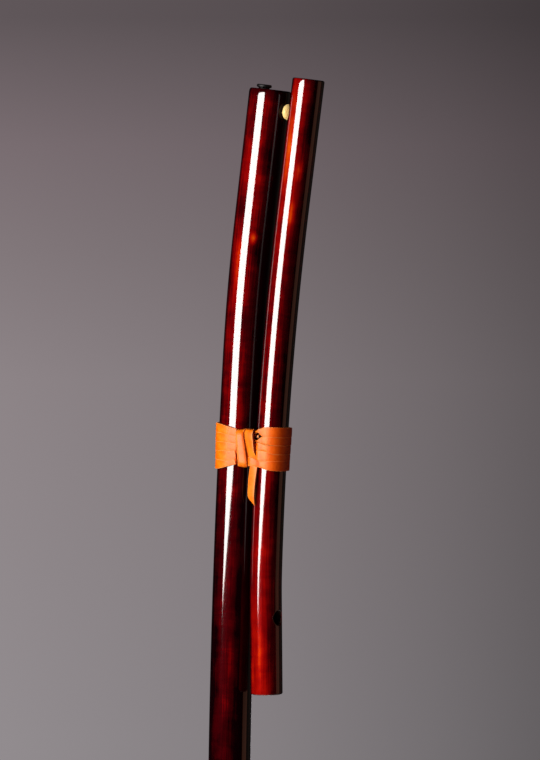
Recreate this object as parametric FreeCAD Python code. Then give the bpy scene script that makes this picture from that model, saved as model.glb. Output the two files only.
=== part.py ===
"""A bent bass overtone flute: a long speaking tube, a short air tube beside it, and a lace that ties them.

Millimetres. +Z is up and the origin is the centre of the speaking tube's open foot. +X points from the speaking
tube to the air tube, which is the player's side, so the window and the finger holes are on the -X side. The
whole flute bends in the XZ plane. Left and right are the player's own.
"""
import FreeCAD
import Part
import math
import os

from FreeCAD import Placement, Rotation, Vector

# Speaking tube, from the foot up: a straight run, a long bend, a tighter crook and a straight head. Turns are in
# degrees towards +X.
MAIN_OD = 42.0
MAIN_BORE = 27.0
MAIN_STRAIGHT = 818.0
MAIN_BEND = 565.0
MAIN_BEND_TURN = 3.9
MAIN_CROOK = 134.0
MAIN_CROOK_TURN = 4.13
MAIN_HEAD = 133.0

# Voicing, measured down from the top end of the speaking tube.
HEAD_PLUG_LENGTH = 12.0
BLOCK_TOP = 36.0
WINDOW_TOP = 86.0
WINDOW_HEIGHT = 9.0
WINDOW_WIDTH = 13.0
WINDWAY_DEPTH = 1.8
LABIUM_RAMP = 30.0
LABIUM_EDGE = 0.5

# Finger holes, measured up from the foot.
FINGER_HOLE_HEIGHTS = (222.0, 372.0, 497.0)
FINGER_HOLE = 11.0
FINGER_HOLE_BEVEL = 0.7

# Air tube, from its lower end up. Its own bend takes up what the speaking tube's turn leaves. Its head leans
# AIR_SPLAY further out than the speaking tube's, and its foot leans AIR_FOOT_LEAN from the vertical.
AIR_OD = 31.8
AIR_BORE = 20.0
AIR_STRAIGHT = 97.0
AIR_CROOK = 24.5
AIR_CROOK_TURN = 2.45
AIR_BEND = 364.0
AIR_HEAD = 124.0
AIR_SPLAY = 0.42
AIR_FOOT_LEAN = -0.54
AIR_PLUG_LENGTH = 14.0
BLOW_HOLE = 14.4
BLOW_HOLE_HEIGHT = 76.0
BLOW_HOLE_BEVEL = 1.0

# Ends of both tubes.
END_BEVEL = 1.4

# Wind spigot, which joins the two bores and holds the tubes apart.
SPIGOT_BELOW_MAIN_TOP = 20.0
SPIGOT_BELOW_AIR_TOP = 34.0
SPIGOT_GAP = 7.1
SPIGOT_OD = 16.0
SPIGOT_TENON = 12.0
SPIGOT_BORE = 7.0
SEAL_THICKNESS = 1.2

# Stopper, over the windway.
STOPPER_OFFSET = 8.0
STOPPER_HEAD = 15.0
STOPPER_HEAD_HEIGHT = 3.2
STOPPER_HEAD_BEVEL = 0.8
STOPPER_NECK = 11.0
STOPPER_NECK_HEIGHT = 1.4
STOPPER_STEM = 8.0
STOPPER_STEM_LENGTH = 10.0

# Lace.
LACE_BELOW_TOP = 356.0
LACE_WIDTH = 9.1
LACE_THICKNESS = 2.6
LACE_CROWN = 0.5
LACE_TURNS = 5
FRAPPING_WIDTH = 8.8
FRAPPING_STRANDS = 2
FRAPPING_THICKNESS = 2.2
FRAPPING_NECK = 1.2
TAIL_LENGTH = 40.0
TAIL_POINT = 12.0
TAIL_WIDTH = 8.0
TAIL_THICKNESS = 1.8
TAIL_OFFSET = 8.0

# Clearances, and how far a cutting tool reaches past what it cuts.
GLUE_GAP = 0.04
RUNNING_GAP = 0.05
LACE_GAP = 0.3
OVERCUT = 1.0

MAIN_R = MAIN_OD / 2
AIR_R = AIR_OD / 2
Y_AXIS = Vector(0, 1, 0)
SIDES = {"left": -1, "right": 1}


def joined(shapes):
    """One shape from several that meet, without the seams between them."""
    return shapes[0].fuse(shapes[1:]).removeSplitter() if len(shapes) > 1 else shapes[0]


def placed(shape, place):
    shape.Placement = place.multiply(shape.Placement)
    return shape


def disc(radius):
    return Part.Face(Part.Wire(Part.makeCircle(radius)))


def ring(outer, inner):
    return disc(outer).cut(disc(inner)).Faces[0]


def rims(shape):
    """The round edges of a turned shape."""
    return [edge for edge in shape.Edges if isinstance(edge.Curve, Part.Circle)]


def direction(tilt):
    """The unit vector that leans tilt degrees from +Z towards +X."""
    return Vector(math.sin(math.radians(tilt)), 0, math.cos(math.radians(tilt)))


class Centreline:
    """A tube's line in the XZ plane: straight and round runs of (length, turn), each tangent to the one below."""

    def __init__(self, runs, pin, point, tilt):
        """The line is placed so that it passes through point, tilted so from +Z, at pin mm above its lower end."""
        self.runs = runs
        self.length = sum(length for length, turn in runs)
        self.start, self.tilt = Vector(), 0.0
        self.tilt = tilt - self.tilt_at(pin)
        self.start = point - self.at(pin).Base

    def walk(self, distance):
        """The point and tilt that lie distance up the line. The end runs reach past their ends."""
        point, tilt = self.start, self.tilt
        for number, (length, turn) in enumerate(self.runs):
            step = distance if number == len(self.runs) - 1 else min(distance, length)
            if turn:
                radius = length / math.radians(turn)
                bent = tilt + turn * step / length
                point = point + direction(tilt + 90) * radius - direction(bent + 90) * radius
                tilt = bent
            else:
                point = point + direction(tilt) * step
            distance -= step
            if distance <= 0:
                break
        return point, tilt

    def tilt_at(self, distance):
        return self.walk(distance)[1]

    def at(self, distance):
        """The place distance up the line: z along the tube, x towards the player."""
        point, tilt = self.walk(distance)
        return Placement(point, Rotation(Y_AXIS, tilt))

    def below_top(self, distance):
        return self.at(self.length - distance)

    def sweep(self, profile, low, high):
        """The solid that a profile, drawn in XY, sweeps along the line from low to high."""
        pieces, base = [], 0.0
        for length, turn in self.runs:
            first, last = max(low, base), min(high, base + length)
            if last > first:
                place = self.at(first)
                face = placed(profile.copy(), place)
                if turn:
                    centre = place.multVec(Vector(length / math.radians(turn), 0, 0))
                    pieces.append(face.revolve(centre, Y_AXIS, turn * (last - first) / length))
                else:
                    pieces.append(face.extrude(place.Rotation.multVec(Vector(0, 0, last - first))))
            base += length
        return joined(pieces)

    def crossing(self, place):
        """How far up the line it crosses the plane that is square to a place on the other tube."""
        normal = place.Rotation.multVec(Vector(0, 0, 1))
        distance = self.length / 2
        for _ in range(8):
            distance -= (self.at(distance).Base - place.Base).dot(normal)
        return distance


def main_line():
    runs = [(MAIN_STRAIGHT, 0.0), (MAIN_BEND, MAIN_BEND_TURN), (MAIN_CROOK, MAIN_CROOK_TURN), (MAIN_HEAD, 0.0)]
    return Centreline(runs, 0.0, Vector(), 0.0)


def spigot_place():
    """Where the spigot's line leaves the speaking tube's axis."""
    return MAIN.below_top(SPIGOT_BELOW_MAIN_TOP)


def air_line():
    """The air tube hangs from the spigot, and bends beside the speaking tube."""
    tilt = MAIN.tilt_at(MAIN.length - SPIGOT_BELOW_MAIN_TOP) + AIR_SPLAY
    bend_turn = tilt - AIR_FOOT_LEAN - AIR_CROOK_TURN
    runs = [(AIR_STRAIGHT, 0.0), (AIR_CROOK, AIR_CROOK_TURN), (AIR_BEND, bend_turn), (AIR_HEAD, 0.0)]
    pin = sum(length for length, turn in runs) - SPIGOT_BELOW_AIR_TOP
    return Centreline(runs, pin, spigot_place().multVec(Vector(MAIN_R + SPIGOT_GAP + AIR_R, 0, 0)), tilt)


MAIN = main_line()
AIR = air_line()


def radial_drill(place, side, diameter, reach):
    """A round drill from a tube's axis out through one wall: side is 1 for the player's side, -1 for the far one."""
    return placed(Part.makeCylinder(diameter / 2, reach, Vector(), Vector(side, 0, 0)), place)


def tube(line, outer, bore):
    """An open tube with bevelled outer rims."""
    body = line.sweep(ring(outer / 2, bore / 2), 0.0, line.length)
    ends = (line.at(0.0).Base, line.below_top(0.0).Base)
    outer_rims = [edge for edge in rims(body) if abs(edge.Curve.Radius - outer / 2) < 0.01
                  and min((edge.Curve.Center - end).Length for end in ends) < 0.01]
    return body.makeChamfer(END_BEVEL, outer_rims)


def side_hole(body, place, side, outer, hole, bevel):
    """Drills a hole through one wall of a tube and bevels its outer rim."""
    body = body.cut(radial_drill(place, side, hole, outer))
    middle = place.multVec(Vector(side * outer / 2, 0, 0))
    rim = [edge for edge in body.Edges if all(
        (point - middle).Length < 0.6 * hole for point in edge.discretize(5))]
    return body.makeChamfer(bevel, rim)


def halves(body):
    """A tube carved as two half shells, which meet on the plane of the bend."""
    box = body.BoundBox
    parts = {}
    for name, side in SIDES.items():
        block = Part.makeBox(box.XLength + 2 * OVERCUT, box.YLength, box.ZLength + 2 * OVERCUT,
                             Vector(box.XMin - OVERCUT, min(0.0, side * box.YLength), box.ZMin - OVERCUT))
        parts[name] = body.common(block)
    return parts


def window_cut():
    """The window above the labium, and the ramp that thins the wall to the labium's edge."""
    edge = -(MAIN_BORE / 2 + LABIUM_EDGE)
    out = -(MAIN_R + OVERCUT)
    slope = LABIUM_RAMP / (MAIN_R + edge)
    corners = [Vector(edge, 0, 0), Vector(out, 0, 0), Vector(out, 0, slope * (out - edge))]
    ramp = Part.Face(Part.makePolygon(corners + corners[:1])).extrude(Vector(0, WINDOW_WIDTH, 0))
    window = Part.makeBox(-out, WINDOW_WIDTH, WINDOW_HEIGHT, Vector(out, 0, 0))
    cut = window.fuse(ramp)
    cut.translate(Vector(0, -WINDOW_WIDTH / 2, 0))
    return placed(cut, MAIN.below_top(WINDOW_TOP + WINDOW_HEIGHT))


def main_tube():
    """The speaking tube, with its window, finger holes and the hole for the spigot."""
    body = tube(MAIN, MAIN_OD, MAIN_BORE)
    for height in FINGER_HOLE_HEIGHTS:
        body = side_hole(body, MAIN.at(height), -1, MAIN_OD, FINGER_HOLE, FINGER_HOLE_BEVEL)
    body = body.cut(radial_drill(spigot_place(), 1, SPIGOT_TENON, MAIN_OD))
    return body.cut(window_cut())


def air_tube():
    """The air tube, with its blow hole and the hole for the spigot."""
    body = tube(AIR, AIR_OD, AIR_BORE)
    body = side_hole(body, AIR.at(BLOW_HOLE_HEIGHT), 1, AIR_OD, BLOW_HOLE, BLOW_HOLE_BEVEL)
    return body.cut(radial_drill(spigot_place(), 1, SPIGOT_TENON, MAIN_R + SPIGOT_GAP + AIR_R))


def plug(line, low, high, bore):
    """A solid plug that fills a bore between two heights."""
    return line.sweep(disc(bore / 2 - GLUE_GAP), low, high)


def stopper_place():
    """The stopper's seat: on the tube's top end, over the windway."""
    return MAIN.below_top(0.0).multiply(Placement(Vector(-STOPPER_OFFSET, 0, 0), Rotation()))


def head_plug():
    """The plug that closes the top, with the hole that the stopper sits in."""
    body = plug(MAIN, MAIN.length - HEAD_PLUG_LENGTH, MAIN.length, MAIN_BORE)
    hole = Part.makeCylinder(STOPPER_STEM / 2 + RUNNING_GAP, HEAD_PLUG_LENGTH + 2 * OVERCUT,
                             Vector(0, 0, -HEAD_PLUG_LENGTH - OVERCUT))
    return body.cut(placed(hole, stopper_place()))


def fipple_block():
    """The block below the wind chamber: its flat leaves the windway along the tube's far wall."""
    body = plug(MAIN, MAIN.length - WINDOW_TOP, MAIN.length - BLOCK_TOP, MAIN_BORE)
    flat = Part.makeBox(MAIN_BORE, MAIN_BORE, WINDOW_TOP - BLOCK_TOP + 2 * OVERCUT,
                        Vector(WINDWAY_DEPTH - MAIN_BORE * 1.5, -MAIN_BORE / 2, -OVERCUT))
    return body.cut(placed(flat, MAIN.below_top(WINDOW_TOP)))


def stopper():
    """A turned stopper: a disc to hold, a neck that seats on the tube's end and a stem that slides in the plug."""
    head = Part.makeCylinder(STOPPER_HEAD / 2, STOPPER_HEAD_HEIGHT, Vector(0, 0, STOPPER_NECK_HEIGHT))
    neck = Part.makeCylinder(STOPPER_NECK / 2, STOPPER_NECK_HEIGHT)
    stem = Part.makeCylinder(STOPPER_STEM / 2, STOPPER_STEM_LENGTH, Vector(0, 0, -STOPPER_STEM_LENGTH))
    crown = max(rims(head), key=lambda edge: edge.BoundBox.ZMax)
    return placed(joined([head.makeChamfer(STOPPER_HEAD_BEVEL, [crown]), neck, stem]), stopper_place())


def wind_spigot():
    """The turned spigot: a barrel saddled between the tubes, a tenon through each wall and a bore for the wind."""
    span = MAIN_R + SPIGOT_GAP + AIR_R
    place = spigot_place()
    outsides, bores = [[line.sweep(disc(size / 2), line.length - 2 * SPIGOT_BELOW_AIR_TOP, line.length)
                        for line, size in pair]
                       for pair in (((MAIN, MAIN_OD), (AIR, AIR_OD)), ((MAIN, MAIN_BORE), (AIR, AIR_BORE)))]
    barrel = radial_drill(place, 1, SPIGOT_OD, span)
    tenon = radial_drill(place, 1, SPIGOT_TENON - 2 * GLUE_GAP, span)
    slim = radial_drill(place, 1, SPIGOT_TENON - 2 * (GLUE_GAP + SEAL_THICKNESS), span)
    barrel = barrel.cut(outsides)
    body = joined([barrel, tenon.common(outsides[0]), slim.common(outsides[1])])
    return body.cut(bores + [radial_drill(place, 1, SPIGOT_BORE, span)])


def spigot_seal():
    """The cork sleeve on the tenon that plugs into the air tube."""
    span = MAIN_R + SPIGOT_GAP + AIR_R
    place = spigot_place()
    wall = AIR.sweep(ring(AIR_R, AIR_BORE / 2), AIR.length - 2 * SPIGOT_BELOW_AIR_TOP, AIR.length)
    sleeve = radial_drill(place, 1, SPIGOT_TENON - 2 * GLUE_GAP, span)
    core = radial_drill(place, 1, SPIGOT_TENON - 2 * (GLUE_GAP + SEAL_THICKNESS), span)
    return sleeve.cut(core).common(wall)


def across_tubes(distance):
    """The place on the speaking tube's axis, distance up, and how far off the air tube's axis is there."""
    place = MAIN.at(distance)
    return place, (AIR.at(AIR.crossing(place)).Base - place.Base).Length


def between_tubes(apart):
    """How far from the speaking tube's axis the middle of the gap between the tubes lies."""
    return (MAIN_R + apart - AIR_R) / 2


def belt_outline(distance, grow):
    """The line of a belt pulled tight round both tubes, grow outside their surfaces, distance up."""
    place, apart = across_tubes(distance)
    big, small = MAIN_R + grow, AIR_R + grow
    turn = math.acos((big - small) / apart)
    start = [Vector(big * math.cos(turn), side * big * math.sin(turn), 0) for side in (-1, 1)]
    end = [Vector(apart + small * math.cos(turn), side * small * math.sin(turn), 0) for side in (-1, 1)]
    return placed(Part.Wire([
        Part.Arc(start[1], Vector(-big, 0, 0), start[0]).toShape(),
        Part.makeLine(start[0], end[0]),
        Part.Arc(end[0], Vector(apart + small, 0, 0), end[1]).toShape(),
        Part.makeLine(end[1], start[1]),
    ]), place)


LACE_HEIGHT = LACE_TURNS * LACE_WIDTH
LACE_MIDDLE = MAIN.length - LACE_BELOW_TOP
LACE_FOOT = LACE_MIDDLE - LACE_HEIGHT / 2


def lace_wrap():
    """The turns of the lace round both tubes, edge to edge. Each one is crowned, so a groove shows where they meet."""
    face = LACE_GAP + LACE_THICKNESS
    sections = [(0.0, face - LACE_CROWN)]
    for number in range(LACE_TURNS):
        sections += [((number + 0.5) * LACE_WIDTH, face), ((number + 1) * LACE_WIDTH, face - LACE_CROWN)]
    outside = Part.makeLoft([belt_outline(LACE_FOOT + rise, grow) for rise, grow in sections], True, True)
    inside = Part.makeLoft([belt_outline(LACE_FOOT + rise, LACE_GAP) for rise in (0.0, LACE_HEIGHT)], True, True)
    return outside.cut(inside)


def on_front(shape, along, out):
    """A flat shape, drawn in XZ and thickened towards -Y, on the front of the lashing: along mm from the speaking
    tube's axis towards the player and out mm from it, square to the line that touches both tubes."""
    place, apart = across_tubes(LACE_MIDDLE)
    lean = math.asin((MAIN_R - AIR_R) / apart)
    face = Rotation(Vector(0, 0, 1), math.degrees(lean))
    shift = (along - out * math.sin(lean)) / math.cos(lean)
    return placed(shape, Placement(face.multVec(Vector(shift, -out, 0)), face))


def lace_frapping():
    """The strands that pull the lashing together between the tubes: flat front and back, with a neck through the
    gap above and below the turns."""
    place, apart = across_tubes(LACE_MIDDLE)
    width = FRAPPING_STRANDS * FRAPPING_WIDTH
    height = LACE_HEIGHT + 2 * FRAPPING_WIDTH
    out = MAIN_R + LACE_THICKNESS + 2 * LACE_GAP
    strands = Part.makeBox(width, FRAPPING_THICKNESS, height,
                           Vector(-width / 2, -FRAPPING_THICKNESS, -height / 2))
    front = on_front(strands, between_tubes(apart), out)
    back = front.mirror(Vector(), Y_AXIS)
    pieces = [placed(front, place), placed(back, place)]
    for side in (-1, 1):
        spot, here = across_tubes(LACE_MIDDLE + side * ((LACE_HEIGHT + FRAPPING_WIDTH) / 2 + LACE_GAP))
        neck = Part.makeBox(FRAPPING_NECK, 2 * out, FRAPPING_WIDTH,
                            Vector(between_tubes(here) - FRAPPING_NECK / 2, -out, -FRAPPING_WIDTH / 2))
        pieces.append(placed(neck, spot))
    return joined(pieces)


def lace_tail():
    """The lace's end, cut to a point, that hangs from under the lowest turn."""
    place, apart = across_tubes(LACE_MIDDLE)
    side = TAIL_WIDTH / 2
    shoulder = TAIL_POINT - TAIL_LENGTH
    corners = [Vector(x, 0, z) for x, z in (
        (-side, 0), (side, 0), (side, shoulder), (side / 2, -TAIL_LENGTH), (-side, shoulder))]
    strip = Part.Face(Part.makePolygon(corners + corners[:1])).extrude(Vector(0, -TAIL_THICKNESS, 0))
    strip.translate(Vector(0, 0, -LACE_HEIGHT / 2 - LACE_GAP))
    return placed(on_front(strip, between_tubes(apart) + TAIL_OFFSET, MAIN_R + LACE_GAP), place)


def build():
    main, air = halves(main_tube()), halves(air_tube())
    return {
        "main_tube_left": main["left"],
        "main_tube_right": main["right"],
        "head_plug": head_plug(),
        "fipple_block": fipple_block(),
        "stopper": stopper(),
        "wind_spigot": wind_spigot(),
        "spigot_seal": spigot_seal(),
        "air_tube_left": air["left"],
        "air_tube_right": air["right"],
        "air_tube_top_plug": plug(AIR, AIR.length - AIR_PLUG_LENGTH, AIR.length, AIR_BORE),
        "air_tube_foot_plug": plug(AIR, 0.0, AIR_PLUG_LENGTH, AIR_BORE),
        "lace_wrap": lace_wrap(),
        "lace_frapping": lace_frapping(),
        "lace_tail": lace_tail(),
    }


os.makedirs("parts", exist_ok=True)
for node, shape in build().items():
    shape.exportStep(f"parts/{node}.step")
    print(f"{node:20} solids {len(shape.Solids)} volume {shape.Volume:10.1f} valid {shape.isValid()}")
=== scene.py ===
import bmesh
import bpy
import math
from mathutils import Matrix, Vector


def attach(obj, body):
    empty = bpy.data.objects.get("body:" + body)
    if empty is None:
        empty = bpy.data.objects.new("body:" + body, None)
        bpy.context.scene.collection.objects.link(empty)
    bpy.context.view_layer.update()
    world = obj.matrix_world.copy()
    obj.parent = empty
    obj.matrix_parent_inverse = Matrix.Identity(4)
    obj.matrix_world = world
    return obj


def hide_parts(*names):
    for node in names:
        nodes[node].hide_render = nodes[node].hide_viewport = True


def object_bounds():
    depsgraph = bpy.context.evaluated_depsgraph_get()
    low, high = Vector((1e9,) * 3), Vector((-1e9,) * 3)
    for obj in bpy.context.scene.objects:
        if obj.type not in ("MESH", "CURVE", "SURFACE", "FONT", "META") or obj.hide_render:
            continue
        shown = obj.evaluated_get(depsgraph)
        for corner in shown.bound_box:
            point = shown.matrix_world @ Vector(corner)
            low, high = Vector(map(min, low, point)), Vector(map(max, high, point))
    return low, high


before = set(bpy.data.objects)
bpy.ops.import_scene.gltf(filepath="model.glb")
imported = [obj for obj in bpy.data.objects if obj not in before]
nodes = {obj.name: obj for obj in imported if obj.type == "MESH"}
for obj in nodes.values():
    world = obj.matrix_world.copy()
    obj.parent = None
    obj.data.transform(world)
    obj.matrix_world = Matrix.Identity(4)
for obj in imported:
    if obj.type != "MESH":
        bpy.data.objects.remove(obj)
cad_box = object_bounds()

# ----------------------------------------------------------------------------------------------------------
# Speaking tube. A bent maple log, split and gouged out to a 27 mm bore, then glued again along the plane of
# its bend, shaped by hand, stained red and built up in many coats of gloss lacquer.

# Lengths are millimetres in the flute's own frame: X from the speaking tube to the air tube, Y to the
# player's right and Z up.
MM = 0.001
MAIN_RUNS = ((818, 0.0), (565, 3.9), (134, 4.13), (133, 0.0))
MAIN_RADIUS = 21.0
MAIN_BORE_RADIUS = 13.5
FINGER_HOLE_HEIGHTS = (222, 372, 497)
FINGER_HOLE_RADIUS = 5.5
FINGER_HOLE_ROUNDING = 0.8
WINDOW_FOOT_BELOW_TOP = 95.0
WINDOW_HEIGHT = 9.0
WINDOW_WIDTH = 13.0
LABIUM_RAMP = 30.0
LABIUM_EDGE = 0.5
RIM_ROUNDING = 1.7
HEAD_ROUNDING_LENGTH = 4.5
BORE_ROUNDING = 0.8
BORE_ROWS = 80
CREASE_ANGLE = math.radians(32)


class Centreline:
    """A tube's line: straight and round runs of (length, degrees turned towards X), from its low end up."""

    def __init__(self, runs, low=Vector(), tilt=0.0):
        self.runs, self.low, self.tilt = runs, low, tilt
        self.length = sum(length for length, turn in runs)

    def at(self, distance):
        """The point distance up the line, and the unit vectors along and across it there."""
        point, tilt = self.low.copy(), math.radians(self.tilt)
        for number, (length, turn) in enumerate(self.runs):
            step = distance if number == len(self.runs) - 1 else min(distance, length)
            bend = math.radians(turn) * step / length
            chord = step * (math.sin(bend / 2) / (bend / 2) if abs(bend) > 1e-9 else 1.0)
            point += chord * Vector((math.sin(tilt + bend / 2), 0, math.cos(tilt + bend / 2)))
            tilt += bend
            distance -= step
            if distance <= 0:
                break
        along = Vector((math.sin(tilt), 0, math.cos(tilt)))
        across = Vector((math.cos(tilt), 0, -math.sin(tilt)))
        return point, along, across

    def place(self, distance, across, front):
        """A point by its distance up the line, and how far across and to the player's right it lies."""
        point, along, sideways = self.at(distance)
        return point + sideways * across + Vector((0, front, 0))


def smooth(mesh):
    """Shades a mesh smoothly, and leaves its creases crisp."""
    mesh.shade_smooth()
    mesh.set_sharp_from_angle(angle=CREASE_ANGLE)


def piece_from(name, points, faces, materials, face_materials=None):
    """A mesh piece from points in millimetres, smooth but for its sharp edges."""
    mesh = bpy.data.meshes.new(name)
    mesh.from_pydata([point * MM for point in points], [], faces)
    for material in materials:
        mesh.materials.append(material)
    if face_materials:
        mesh.polygons.foreach_set("material_index", face_materials)
    shaper = bmesh.new()
    shaper.from_mesh(mesh)
    bmesh.ops.recalc_face_normals(shaper, faces=shaper.faces)
    shaper.to_mesh(mesh)
    shaper.free()
    smooth(mesh)
    piece = bpy.data.objects.new(name, mesh)
    bpy.context.scene.collection.objects.link(piece)
    return piece


def lofted(rings, closed):
    """The faces between rings of points, each ring closed. The first and last ring meet, or are capped."""
    around = len(rings[0])
    faces = []
    for row in range(len(rings) if closed else len(rings) - 1):
        low, high = row * around, (row + 1) % len(rings) * around
        faces += [(low + i, low + (i + 1) % around, high + (i + 1) % around, high + i)
                  for i in range(around)]
    if not closed:
        faces += [tuple(range(around)), tuple(range(len(rings) * around - around, len(rings) * around))]
    return [point for ring in rings for point in ring], faces


def tube_blank(name, line, radius, bore, materials, crest=RIM_ROUNDING, step=4.0, around=144):
    """A hollow tube up a line. Its outer rims are rounded over, the upper one over a length of crest, and its
    bore is the second material."""
    quarter = [math.radians(15 * k) for k in range(7)]
    soft = BORE_ROUNDING
    soft_middle = soft * 0.3  # about where the middle of a quarter circle lies
    profile = [(RIM_ROUNDING * (1 - math.sin(a)), radius - RIM_ROUNDING * (1 - math.cos(a)))
               for a in reversed(quarter)]
    reach = line.length - RIM_ROUNDING - crest
    rows = round(reach / step)
    profile += [(RIM_ROUNDING + reach * k / rows, radius) for k in range(1, rows)]
    profile += [(line.length - crest * (1 - math.sin(a)), radius - RIM_ROUNDING * (1 - math.cos(a)))
                for a in quarter]
    skin = len(profile)
    profile += [(line.length, bore + soft), (line.length - soft_middle, bore + soft_middle),
                (line.length - soft, bore)]
    profile += [(line.length * (1 - k / BORE_ROWS), bore) for k in range(1, BORE_ROWS)]
    profile += [(soft, bore), (soft_middle, bore + soft_middle), (0.0, bore + soft)]
    turns = [2 * math.pi * k / around for k in range(around)]
    rings = [[line.place(distance, size * math.cos(a), size * math.sin(a)) for a in turns]
             for distance, size in profile]
    points, faces = lofted(rings, closed=True)
    return piece_from(name, points, faces, materials,
                      [0 if row < skin else 1 for row in range(len(rings)) for k in range(around)])


def hole_drill(line, height, side, radius, hole, soft, around=72):
    """The solid that a side hole takes out of a tube, with the hole's rim rounded over by hand, as deep all
    the way round. Its profile is (distance from the hole's axis, height over the tube's skin), from the bore
    out."""
    inside, brim, brim_rise, clear = radius * 0.3, 3.0, 0.55, 4.0
    profile = [(hole, None), (hole, -soft)]
    profile += [(hole + soft * (1 - math.cos(a)), -soft * (1 - math.sin(a)))
                for a in (math.radians(16 * k) for k in range(1, 6))]
    rim, rim_height = profile[-1]
    profile += [(rim + brim, rim_height + brim_rise), (rim + brim, clear)]
    rings = []
    for reach, depth in profile:
        ring = []
        for k in range(around):
            turn = 2 * math.pi * k / around
            front, up = reach * math.cos(turn), reach * math.sin(turn)
            out = inside if depth is None else math.sqrt(radius ** 2 - front ** 2) + depth
            ring.append(line.place(height + up, side * out, front))
        rings.append(ring)
    points, faces = lofted(rings, closed=False)
    # The hole's wall is the tube's second material, bare wood, and the rounded rim is lacquered.
    walls = [1] * around + [0] * (len(faces) - around)
    return piece_from("drill", points, faces, [], walls)


def window_gouge(line):
    """The solid that the window and its ramp take out of the wall above the labium."""
    inside, edge, outside = 5, MAIN_BORE_RADIUS + LABIUM_EDGE, MAIN_RADIUS + 1
    foot = line.length - WINDOW_FOOT_BELOW_TOP
    slope = LABIUM_RAMP / (MAIN_RADIUS - edge)
    corners = [(inside, foot), (inside, foot + WINDOW_HEIGHT), (outside, foot + WINDOW_HEIGHT),
               (outside, foot - slope * (outside - edge)), (edge, foot)]
    rings = [[line.place(height, -reach, front) for reach, height in corners]
             for front in (-WINDOW_WIDTH / 2, WINDOW_WIDTH / 2)]
    points, faces = lofted(rings, closed=False)
    return piece_from("gouge", points, faces, [], [0] * len(faces))


def carved(blank, tools):
    """Takes the tools' solids out of a blank."""
    for tool in tools:
        cut = blank.modifiers.new("cut", "BOOLEAN")
        cut.operation, cut.solver, cut.object = "DIFFERENCE", "EXACT", tool
    evaluated = blank.evaluated_get(bpy.context.evaluated_depsgraph_get())
    cut_mesh = bpy.data.meshes.new_from_object(evaluated)
    blank.modifiers.clear()
    blank.data = cut_mesh
    for tool in tools:
        bpy.data.objects.remove(tool)
    smooth(cut_mesh)


def mark_grain(piece, line):
    """Marks each point with its place, in millimetres, on the tube as if it were straight, so that the wood's
    figure follows the bend."""
    grain = piece.data.attributes.new("grain", "FLOAT_VECTOR", "POINT")
    for vertex, mark in zip(piece.data.vertices, grain.data):
        point = vertex.co / MM
        distance = point.z - line.low.z
        for _ in range(3):  # three steps settle on the bend
            centre, along, across = line.at(distance)
            distance += (point - centre).dot(along)
        mark.vector = ((point - centre).dot(across), point.y, distance)


def colour(hex_code):
    """Linear RGBA from an sRGB hex value."""
    channels = [int(hex_code[i:i + 2], 16) / 255 for i in (0, 2, 4)]
    return [c / 12.92 if c <= 0.04045 else ((c + 0.055) / 1.055) ** 2.4 for c in channels] + [1.0]


def new_material(name):
    """A new material, its node tree and its shader."""
    material = bpy.data.materials.new(name)
    material.use_nodes = True
    return material, material.node_tree, material.node_tree.nodes["Principled BSDF"]


def fit(tree, node, links=None, values=None):
    """Sets a node's sockets, and links them to other nodes' outputs."""
    for socket, value in (values or {}).items():
        node.inputs[socket].default_value = value
    for socket, source in (links or {}).items():
        tree.links.new(source, node.inputs[socket])


def add(tree, kind, links=None, values=None, size=None, stops=(), out=0, **settings):
    """Adds a node with its settings, values and links, and returns its output. size stretches a pattern so
    that its marks are about that long in X, Y and Z, and stops are a colour ramp's (position, colour) pairs,
    in order."""
    node = tree.nodes.new(kind)
    for name, value in settings.items():
        setattr(node, name, value)
    if size:
        scale = {"Scale": [1 / length for length in size]}
        links = {**links, "Vector": add(tree, "ShaderNodeMapping", {"Vector": links["Vector"]}, scale)}
        values = {"Scale": 1.0, **(values or {})}
    fit(tree, node, links, values)
    for number, (position, shade) in enumerate(stops):
        marks = node.color_ramp.elements
        mark = marks[number] if number < 2 else marks.new(position)
        mark.position, mark.color = position, shade
    return node.outputs[out]


def summed(tree, *parts):
    """The sum of (source, weight) parts round 0.5, each counted from its own middle value of 0.5."""
    total = None
    for source, weight in parts:
        shift = (0.5 if total is None else 0.0) - weight / 2
        part = add(tree, "ShaderNodeMath", {0: source}, {1: weight, 2: shift}, operation="MULTIPLY_ADD")
        total = part if total is None else add(tree, "ShaderNodeMath", {0: total, 1: part}, operation="ADD")
    return total


def blob(tree, grain, place, half):
    """1 at a place on the tube, and down to nothing half a blob's length away from it."""
    apart = add(tree, "ShaderNodeVectorMath", {0: grain}, {1: place}, operation="SUBTRACT")
    apart = add(tree, "ShaderNodeVectorMath", {0: apart}, {1: half}, operation="DIVIDE")
    return add(tree, "ShaderNodeTexGradient", {"Vector": apart}, out="Fac", gradient_type="SPHERICAL")


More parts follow.
